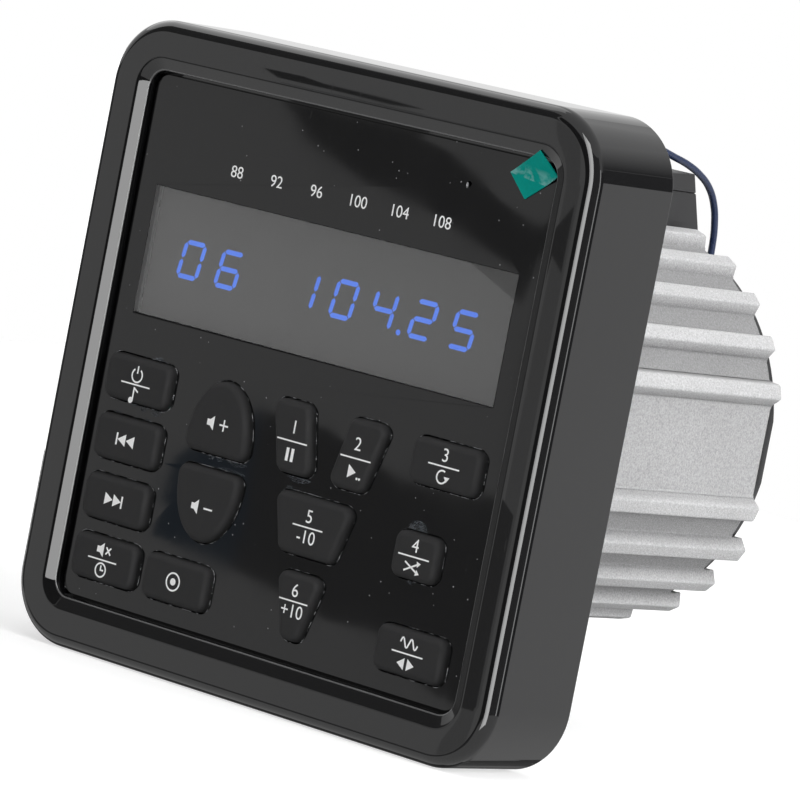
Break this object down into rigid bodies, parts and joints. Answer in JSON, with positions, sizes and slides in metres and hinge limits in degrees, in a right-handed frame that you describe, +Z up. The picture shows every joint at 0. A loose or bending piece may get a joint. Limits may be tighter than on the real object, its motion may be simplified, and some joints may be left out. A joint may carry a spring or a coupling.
{
  "type": "marine stereo",
  "caption": "Dash-mounted marine radio player: square gloss bezel with a display and push keys, on a ribbed round metal housing with rear sockets and studs.",
  "frame": {"origin": "centre of the bezel's back, where it seats on the dash", "axes": "the face looks along -Y, +Y goes into the dash, +X is right as seen from the front, +Z is up"},
  "size_m": [0.11, 0.1008, 0.11],
  "materials": {
    "bezel": "gloss black moulding",
    "panel": "gloss black acrylic",
    "lens": "clear flat lens",
    "film": "green pull tab of the clear film",
    "key_rubber": "matt black soft-touch",
    "mat_rubber": "moulded silicone",
    "gold": "gold flash",
    "board": "green solder mask",
    "steel": "zinc plated",
    "bright_tin": "tinned sheet",
    "display": "grey segment display",
    "diffuser": "milky light guide",
    "chip": "moulded package",
    "nylon": "natural nylon",
    "black_plastic": "matt black moulding",
    "gasket": "closed-cell rubber",
    "housing": "blasted die casting",
    "cover": "black paint",
    "can": "sleeved can",
    "module": "blue solder mask",
    "ribbon": "grey flat cable",
    "nickel": "nickel plate",
    "lead": "dark blue insulation"
  },
  "bodies": {
    "unit": {"bezel": "bezel", "front_panel": "panel", "display_lens": "lens", "film_tab": "film", "key_mat": "mat_rubber", "contact_pads": "gold", "harness_pins": "gold", "front_board": "board", "main_board": "board", "front_board_screws": "steel", "back_plate_screws": "steel", "housing_screws": "steel", "main_board_screws": "steel", "amplifier_screws": "steel", "rear_cover_screws": "steel", "mounting_studs": "steel", "terminal_box_screws": "steel", "display_frame": "bright_tin", "microphone": "bright_tin", "tuner_can": "bright_tin", "amplifier_clamp": "bright_tin", "display_glass": "display", "backlight": "diffuser", "control_chip": "chip", "amplifier_chip": "chip", "front_header": "nylon", "main_header": "nylon", "terminal_strip": "nylon", "back_plate": "black_plastic", "harness_socket": "black_plastic", "terminal_box": "black_plastic", "terminal_box_lid": "black_plastic", "dash_gasket": "gasket", "lead_grommet": "gasket", "housing": "housing", "rear_cover": "cover", "capacitors": "can", "radio_module": "module", "ribbon_cable": "ribbon", "aerial_socket": "nickel", "aerial_nut": "nickel", "blue_lead": "lead"},
    "key_power": {"key_power": "key_rubber"},
    "key_previous": {"key_previous": "key_rubber"},
    "key_next": {"key_next": "key_rubber"},
    "key_mute": {"key_mute": "key_rubber"},
    "key_select": {"key_select": "key_rubber"},
    "key_volume_up": {"key_volume_up": "key_rubber"},
    "key_volume_down": {"key_volume_down": "key_rubber"},
    "key_preset_1": {"key_preset_1": "key_rubber"},
    "key_preset_2": {"key_preset_2": "key_rubber"},
    "key_preset_3": {"key_preset_3": "key_rubber"},
    "key_preset_4": {"key_preset_4": "key_rubber"},
    "key_preset_5": {"key_preset_5": "key_rubber"},
    "key_preset_6": {"key_preset_6": "key_rubber"},
    "key_band": {"key_band": "key_rubber"}
  },
  "joints": [
    {"name": "key_power_press", "type": "slide", "parent": "unit", "child": "key_power", "axis": [0, 1, 0], "range_m": [0, 0.001], "stiffness_N_per_m": 500},
    {"name": "key_previous_press", "type": "slide", "parent": "unit", "child": "key_previous", "axis": [0, 1, 0], "range_m": [0, 0.001], "stiffness_N_per_m": 500},
    {"name": "key_next_press", "type": "slide", "parent": "unit", "child": "key_next", "axis": [0, 1, 0], "range_m": [0, 0.001], "stiffness_N_per_m": 500},
    {"name": "key_mute_press", "type": "slide", "parent": "unit", "child": "key_mute", "axis": [0, 1, 0], "range_m": [0, 0.001], "stiffness_N_per_m": 500},
    {"name": "key_select_press", "type": "slide", "parent": "unit", "child": "key_select", "axis": [0, 1, 0], "range_m": [0, 0.001], "stiffness_N_per_m": 500},
    {"name": "key_volume_up_press", "type": "slide", "parent": "unit", "child": "key_volume_up", "axis": [0, 1, 0], "range_m": [0, 0.001], "stiffness_N_per_m": 500},
    {"name": "key_volume_down_press", "type": "slide", "parent": "unit", "child": "key_volume_down", "axis": [0, 1, 0], "range_m": [0, 0.001], "stiffness_N_per_m": 500},
    {"name": "key_preset_1_press", "type": "slide", "parent": "unit", "child": "key_preset_1", "axis": [0, 1, 0], "range_m": [0, 0.001], "stiffness_N_per_m": 500},
    {"name": "key_preset_2_press", "type": "slide", "parent": "unit", "child": "key_preset_2", "axis": [0, 1, 0], "range_m": [0, 0.001], "stiffness_N_per_m": 500},
    {"name": "key_preset_3_press", "type": "slide", "parent": "unit", "child": "key_preset_3", "axis": [0, 1, 0], "range_m": [0, 0.001], "stiffness_N_per_m": 500},
    {"name": "key_preset_4_press", "type": "slide", "parent": "unit", "child": "key_preset_4", "axis": [0, 1, 0], "range_m": [0, 0.001], "stiffness_N_per_m": 500},
    {"name": "key_preset_5_press", "type": "slide", "parent": "unit", "child": "key_preset_5", "axis": [0, 1, 0], "range_m": [0, 0.001], "stiffness_N_per_m": 500},
    {"name": "key_preset_6_press", "type": "slide", "parent": "unit", "child": "key_preset_6", "axis": [0, 1, 0], "range_m": [0, 0.001], "stiffness_N_per_m": 500},
    {"name": "key_band_press", "type": "slide", "parent": "unit", "child": "key_band", "axis": [0, 1, 0], "range_m": [0, 0.001], "stiffness_N_per_m": 500}
  ]
}
